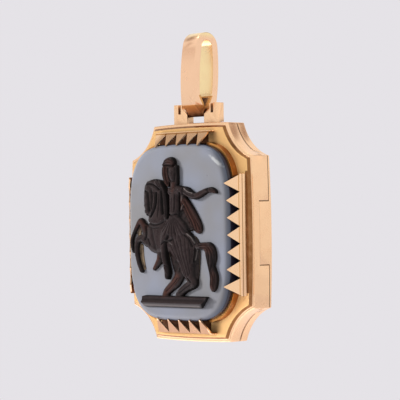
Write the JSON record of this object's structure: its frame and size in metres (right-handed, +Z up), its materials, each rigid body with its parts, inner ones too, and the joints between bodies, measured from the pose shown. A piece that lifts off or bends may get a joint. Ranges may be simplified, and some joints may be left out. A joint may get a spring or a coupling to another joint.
{
  "type": "cameo pendant",
  "caption": "Octagonal hinged locket pendant with hollow cut corners, a claw-set carved stone showing a rider on a rearing horse, and a ribbon bail.",
  "frame": {"origin": "the inside of the bail's round top, where a chain carries it", "axes": "+Z up along the hanging pendant, -Y towards the carved face, +X to the wearer's left as seen from the front"},
  "size_m": [0.0295, 0.0101, 0.0517],
  "materials": {
    "bail_gold": "polished rose gold",
    "case_gold": "polished rose gold with fine wear",
    "cover_gold": "polished rose gold with fine wear",
    "pin_gold": "drawn wire, polished ends",
    "stone_dark": "polished hardstone",
    "stone_pale": "satin hardstone",
    "carving_brown": "carved hardstone, satin"
  },
  "bodies": {
    "bail": {"bail": "bail_gold"},
    "case": {"front_case": "case_gold", "bail_pin": "pin_gold", "cover_pin": "pin_gold", "stone_base": "stone_dark", "stone_ground": "stone_pale", "relief": "carving_brown"},
    "cover": {"cover": "cover_gold"}
  },
  "joints": [
    {"name": "case_swing", "type": "hinge", "parent": "bail", "child": "case", "pos_m": [0, -0.00063, -0.01206], "axis": [1, 0, 0], "range_deg": [-45, 45]},
    {"name": "cover_hinge", "type": "hinge", "parent": "case", "child": "cover", "pos_m": [0.01385, -0.00049, -0.03216], "axis": [0, 0, -1], "range_deg": [0, 90]}
  ]
}
